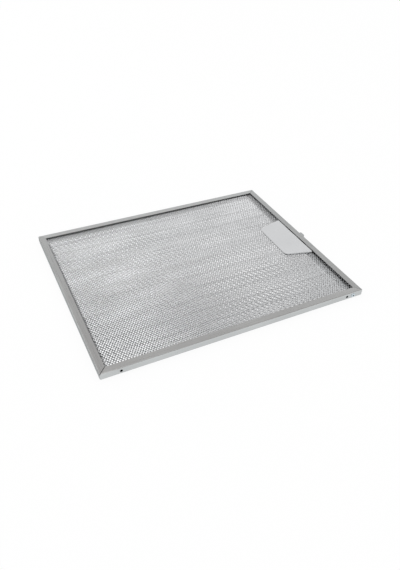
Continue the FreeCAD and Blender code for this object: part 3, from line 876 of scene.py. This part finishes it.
NOTCH_ROOM = 0.5 * MM
NOTCH_HALF_WIDTH = 30.5 * MM
NOTCH_FLARE = 9 / 35
tray_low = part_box("latch_tray")[0]
NOTCH = {
    "Notch Start": tray_low.x - NOTCH_ROOM,
    "Notch Half Width": NOTCH_HALF_WIDTH,
    "Notch Flare": NOTCH_FLARE,
}
print("The notch starts", round(NOTCH["Notch Start"] / MM, 2), "mm from the middle")

# %% [markdown]
# A piece of geometry stays handy below 200,000 triangles. A face sheet has more, so it is made in two
# parts that meet near the middle. The left one has an even number of strands, so the zigzag carries on.

# %% One layer from one solid
def places_along(low, high, step):
    return int((high - low) / step) + 1


def layer_values(node, mesh, ridged, seed):
    """The tree's inputs that fill the box of one mesh solid."""
    low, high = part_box(node)
    stands = mesh["Ribbon Width"] * math.sin(abs(LEAN)) + mesh["Ribbon Thickness"] * math.cos(LEAN)
    strand_room = mesh["Pitch Along"] / 4 + mesh["Ribbon Width"] / 2
    row_room = mesh["Ribbon Width"]
    return {
        **mesh,
        **NOTCH,
        "Strands": places_along(low.x + strand_room, high.x - strand_room, mesh["Pitch Along"] / 2),
        "Middle": 0.0,
        "Rows": places_along(low.y + row_room, high.y - row_room, mesh["Pitch Across"] / 2),
        "Lean": LEAN,
        "Lean Spread": LEAN_SPREAD,
        "Edge X": high.x - EDGE_BAND,
        "Edge Y": high.y - BACK_BAND,
        "Edge Width": EDGE_WIDTH,
        "Edge Lean": EDGE_LEAN,
        "Edge Fade": EDGE_FADE_PER_METRE,
        "Back Width": BACK_WIDTH,
        "Back Lean": BACK_LEAN,
        "Level": low.z + stands / 2 if ridged else (low.z + high.z) / 2,
        "Ridge Pitch": RIDGE_PITCH,
        "Ridge Height": high.z - low.z - stands if ridged else 0.0,
        "Seed": seed,
    }


def split_in_two(values):
    """The inputs of a left and a right part, the left one with an even number of strands."""
    strands = values["Strands"]
    left = 2 * round(strands / 4)
    step = values["Pitch Along"] / 2
    parts = []
    for first, count in ((0, left), (left, strands - left)):
        middle = (first + (count - 1) / 2 - (strands - 1) / 2) * step
        parts.append({**values, "Strands": count, "Middle": middle})
    return parts


print("A layer's inputs can be read from its solid")

# %% [markdown]
# A tree only shows its result while a modifier runs it. So a holder object runs it once, the result is
# kept as a plain mesh, and the holder goes. Each layer then takes the place of its solid and stays with
# the frame.

# %% The layers
FACE_LAYERS = ("top_mesh", "bottom_mesh")
INNER_LAYERS = ("inner_mesh_1", "inner_mesh_2", "inner_mesh_3")


def add_object(name, data):
    thing = bpy.data.objects.new(name, data)
    bpy.context.scene.collection.objects.link(thing)
    return thing


def grow(tree, name, values):
    """Run a tree with these inputs, and keep the result as a plain mesh object."""
    holder = add_object(f"{name}_holder", bpy.data.meshes.new(f"{name}_seed"))
    modifier = holder.modifiers.new("grow", "NODES")
    modifier.node_group = tree
    for item in tree.interface.items_tree:
        if item.in_out == "INPUT":
            modifier[item.identifier] = values[item.name]
    evaluated = holder.evaluated_get(bpy.context.evaluated_depsgraph_get())
    mesh = bpy.data.meshes.new_from_object(evaluated)
    bpy.data.objects.remove(holder)
    mesh.name = name
    return add_object(name, mesh)


def count_triangles(piece):
    return sum(len(face.vertices) - 2 for face in piece.data.polygons)


def keep_layer(name, node, values):
    piece = grow(strand_tree, name, values)
    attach(piece, "filter")
    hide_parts(node)
    print(piece.name, "has", count_triangles(piece), "triangles")


for seed, node in enumerate(FACE_LAYERS):
    left, right = split_in_two(layer_values(node, FACE_MESH, ridged=False, seed=float(seed)))
    keep_layer(f"{node}_strands_left", node, left)
    keep_layer(f"{node}_strands_right", node, right)
for seed, node in enumerate(INNER_LAYERS, start=len(FACE_LAYERS)):
    keep_layer(f"{node}_strands", node, layer_values(node, INNER_MESH, ridged=True, seed=float(seed)))

# %% [markdown]
# ## The leaf spring
#
# A bowed strip of steel lies in the tray and pushes the tongue out again. It bends flat when the handle
# is drawn back, so it can't stay rigid. Its shape is an arc swept with an upright rectangle, and it gets a
# mesh of its own.

# %% Spring
SPRING_INPUTS = {
    "Start": VECTOR,
    "Middle": VECTOR,
    "End": VECTOR,
    "Width": NUMBER,
    "Thickness": NUMBER,
    "Metal": METAL,
}
SPRING_POINTS = 49
SPRING_THICKNESS = 0.4 * MM


def make_spring_tree():
    tree = new_shape_tree("bowed_leaf", SPRING_INPUTS)
    given = add_node(tree, "NodeGroupInput").outputs
    arc = add_node(tree, "GeometryNodeCurveArc", mode="POINTS")
    arc.inputs["Resolution"].default_value = SPRING_POINTS
    for name in ("Start", "Middle", "End"):
        join(tree, given[name], arc.inputs[name])
    leaf = sweep(tree, keep_level(tree, arc.outputs["Curve"]), given["Thickness"], given["Width"])
    end_tree(tree, leaf, given["Metal"])
    return tree


spring_low, spring_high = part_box("latch_spring")
spring_middle_z = (spring_low.z + spring_high.z) / 2
end_x = spring_low.x + SPRING_THICKNESS / 2
crown_x = spring_high.x - SPRING_THICKNESS / 2
spring = grow(
    make_spring_tree(),
    "latch_leaf",
    {
        "Start": (end_x, spring_low.y, spring_middle_z),
        "Middle": (crown_x, 0.0, spring_middle_z),
        "End": (end_x, spring_high.y, spring_middle_z),
        "Width": spring_high.z - spring_low.z,
        "Thickness": SPRING_THICKNESS,
        "Metal": SPRING_METAL,
    },
)
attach(spring, "filter")
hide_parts("latch_spring")
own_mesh(spring)

# %% [markdown]
# ## Finish the solid pieces
#
# The frame, the rivet, the handle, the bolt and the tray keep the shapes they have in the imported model
# and only get a material. The solids that were replaced get one too, so that no piece is left bare.

# %% Materials on the solids
FINISHES = {
    "frame": FRAME_ALUMINIUM,
    "frame_rivet": RIVET_METAL,
    "rivet_mandrel": MANDREL_SHADE_METAL,
    "latch_handle": HANDLE_PLASTIC,
    "latch_bolt": BOLT_PLASTIC,
    "latch_tray": TRAY_PLASTIC,
    "top_mesh": FACE_FOIL,
    "bottom_mesh": FACE_FOIL,
    "inner_mesh_1": SHADED_INNER_FOIL,
    "inner_mesh_2": SHADED_INNER_FOIL,
    "inner_mesh_3": SHADED_INNER_FOIL,
    "latch_spring": SPRING_METAL,
}
for node, material in FINISHES.items():
    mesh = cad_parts[node].data
    mesh.materials.clear()
    mesh.materials.append(material)
print("Finished", len(FINISHES), "solids")

# %% [markdown]
# ## The studio
#
# Metal looks like what it reflects. A white floor makes the upright walls bright, and a room that is
# grey higher up, and darkest overhead, gives the level lips their duller grey. A bright backdrop stands
# behind to the right, up to about 30 degrees above the floor. The far lips mirror it and the near ones
# don't, so the frame lightens towards the back. Low on the far left the room is dim, which draws a dark
# line along the fold of the left side. A soft skylight hangs almost straight overhead, where the leaning
# ribbons mirror it towards the camera and the level lips don't, so the mesh glints against a dull frame.
#
# Light Path tells the world apart: the camera sees plain white, reflections see the room with its
# skylight, and everything else gets an even fill.

# %% World
WHITE = grey(1.0)
ROOM_OVERHEAD = grey(0.28, (1.0, 0.96, 0.935))
ROOM_MIDDLE = grey(0.55, (0.995, 0.99, 0.985))
ROOM_HORIZON = grey(1.0, (0.965, 1.0, 1.005))
BACKDROP = grey(1.06, (0.955, 1.0, 1.01))
BACKDROP_TOWARDS = (0.45, 0.89, 0.0)
BACKDROP_EDGE = math.radians(52)
BACKDROP_CORE = math.radians(31)
BACKDROP_UP_TO = 0.47
BACKDROP_GONE_BY = 0.6
OVERHEAD_FROM = 0.72
DIM_SIDE = grey(0.12)
DIM_TOWARDS = (-0.63, 0.76, -0.08)
DIM_EDGE = math.radians(38)
DIM_CORE = math.radians(22)
FRONT_LIFT = 0.3
FILL = WHITE
SKYLIGHT = grey(1.63)
SKYLIGHT_TOWARDS = (-0.14, 0.14, 0.98)
SKYLIGHT_EDGE = math.radians(26)
SKYLIGHT_CORE = math.radians(11)


def share_towards(tree, ray, towards, edge, core):
    """One for rays within the core angle of a direction, nought past the edge angle."""
    near = add_node(tree, "ShaderNodeVectorMath", operation="DOT_PRODUCT")
    join(tree, ray, near.inputs[0])
    near.inputs[1].default_value = Vector(towards).normalized()
    return rescale(tree, near.outputs["Value"], 0.0, 1.0, math.cos(edge), math.cos(core))


def make_world():
    world = bpy.data.worlds.new("studio")
    tree = empty_tree(world)
    towards = add_node(tree, "ShaderNodeTexCoord").outputs["Generated"]
    direction = parts_of(tree, towards)
    front = calculate(tree, "MINIMUM", direction["Y"], 0.0)
    slope = calculate(tree, "MULTIPLY_ADD", front, FRONT_LIFT, direction["Z"])
    above = rescale(tree, slope, 0.0, 1.0, BACKDROP_UP_TO, BACKDROP_GONE_BY)
    upward = rescale(tree, slope, 0.0, 1.0, OVERHEAD_FROM, 1.0)
    behind = share_towards(tree, towards, BACKDROP_TOWARDS, BACKDROP_EDGE, BACKDROP_CORE)
    horizon = mix_colours(tree, behind, ROOM_HORIZON, BACKDROP)
    backdrop = mix_colours(tree, above, horizon, ROOM_MIDDLE)
    bright = mix_colours(tree, upward, backdrop, ROOM_OVERHEAD)
    dim = share_towards(tree, towards, DIM_TOWARDS, DIM_EDGE, DIM_CORE)
    walls = mix_colours(tree, dim, bright, DIM_SIDE)
    share = share_towards(tree, towards, SKYLIGHT_TOWARDS, SKYLIGHT_EDGE, SKYLIGHT_CORE)
    room = mix_colours(tree, share, walls, SKYLIGHT)
    path = add_node(tree, "ShaderNodeLightPath").outputs
    seen = calculate(tree, "MAXIMUM", path["Is Camera Ray"], path["Is Transmission Ray"])
    lit = mix_colours(tree, path["Is Glossy Ray"], FILL, room)
    background = add_node(tree, "ShaderNodeBackground")
    join(tree, mix_colours(tree, seen, lit, WHITE), background.inputs["Color"])
    output = add_node(tree, "ShaderNodeOutputWorld")
    join(tree, background.outputs["Background"], output.inputs["Surface"])
    bpy.context.scene.world = world


make_world()
bpy.context.scene.view_settings.view_transform = "Standard"
print("The world is set")

# %% [markdown]
# The floor is a wide pale sheet. Part of its brightness is its own for the rays that show it, which
# makes it white, and the rest is lit, which keeps the shadow under the filter. From underneath it is
# clear, so that the lower face of the filter can be looked at as well.

# %% Floor
FLOOR_HALF = 4.0
FLOOR_PAPER = grey(0.95)
FLOOR_GLOW = 0.9
FLOOR_MIRRORED = grey(0.98, (0.945, 0.992, 1.004))


def make_floor():
    mesh = bpy.data.meshes.new("floor")
    corners = [(-1, -1), (1, -1), (1, 1), (-1, 1)]
    mesh.from_pydata([(x * FLOOR_HALF, y * FLOOR_HALF, 0.0) for x, y in corners], [], [(0, 1, 2, 3)])
    floor = add_object("floor", mesh)
    material = bpy.data.materials.new("floor_white")
    tree = empty_tree(material)
    paper = add_node(tree, "ShaderNodeBsdfDiffuse")
    paper.inputs["Color"].default_value = FLOOR_PAPER
    glow = add_node(tree, "ShaderNodeEmission")
    path = add_node(tree, "ShaderNodeLightPath").outputs
    shine = mix_colours(tree, path["Is Glossy Ray"], WHITE, FLOOR_MIRRORED)
    join(tree, shine, glow.inputs["Color"])
    direct = calculate(tree, "MAXIMUM", path["Is Camera Ray"], path["Is Transmission Ray"])
    shown = calculate(tree, "MAXIMUM", direct, path["Is Glossy Ray"])
    blend = add_node(tree, "ShaderNodeMixShader")
    join(tree, calculate(tree, "MULTIPLY", shown, FLOOR_GLOW), blend.inputs["Fac"])
    join(tree, paper.outputs["BSDF"], blend.inputs[1])
    join(tree, glow.outputs["Emission"], blend.inputs[2])
    sheet = add_node(tree, "ShaderNodeMixShader")
    underneath = add_node(tree, "ShaderNodeNewGeometry").outputs["Backfacing"]
    join(tree, calculate(tree, "MULTIPLY", underneath, path["Is Camera Ray"]), sheet.inputs["Fac"])
    join(tree, blend.outputs["Shader"], sheet.inputs[1])
    join(tree, add_node(tree, "ShaderNodeBsdfTransparent").outputs["BSDF"], sheet.inputs[2])
    join(tree, sheet.outputs["Shader"], add_node(tree, "ShaderNodeOutputMaterial").inputs["Surface"])
    mesh.materials.append(material)
    return floor


make_floor()
print("The floor is laid")

# %% [markdown]
# The room lights nearly everything. One weak softbox at the far left adds a glint on the edges that
# face it and a first hint of where the light comes from.

# %% Lamp
def add_softbox(name, place, target, size, power):
    lamp = bpy.data.lights.new(name, "AREA")
    lamp.shape = "SQUARE"
    lamp.size = size
    lamp.energy = power
    softbox = add_object(name, lamp)
    softbox.location = place
    aim = Vector(target) - Vector(place)
    softbox.rotation_euler = aim.to_track_quat("-Z", "Y").to_euler()


add_softbox("softbox_glint", place=(-1.05, 1.3, 1.0), target=(0, 0, 0), size=0.7, power=1.8)
print("The softbox is lit")

# %% [markdown]
# ## The camera
#
# The lines of the frame in the photograph give the viewpoint: about 37 degrees above the table, from
# the front left. The camera is placed by its own right and forward directions.

# %% Camera
IMAGE_LONG_SIDE = 570
SENSOR = 36.0
FOCAL_PIXELS = 536.74
CENTRE_OFFSET_PIXELS = 4.83
CAMERA_PLACE = (-0.23343, -0.48058, 0.40206)
CAMERA_RIGHT = (0.89719, -0.44045, 0.0325)
CAMERA_FORWARD = (0.36136, 0.68978, -0.62739)
NEAREST_SEEN = 10 * MM


def make_camera():
    data = bpy.data.cameras.new("camera")
    data.sensor_width = SENSOR
    data.lens = FOCAL_PIXELS * SENSOR / IMAGE_LONG_SIDE
    data.shift_x = -CENTRE_OFFSET_PIXELS / IMAGE_LONG_SIDE
    data.clip_start = NEAREST_SEEN
    camera = add_object("camera", data)
    right = Vector(CAMERA_RIGHT).normalized()
    back = -Vector(CAMERA_FORWARD).normalized()
    turn = Matrix((right, back.cross(right), back)).transposed()
    camera.matrix_world = Matrix.Translation(CAMERA_PLACE) @ turn.to_4x4()
    bpy.context.scene.camera = camera
    return data


print("The lens is", round(make_camera().lens, 2), "mm")
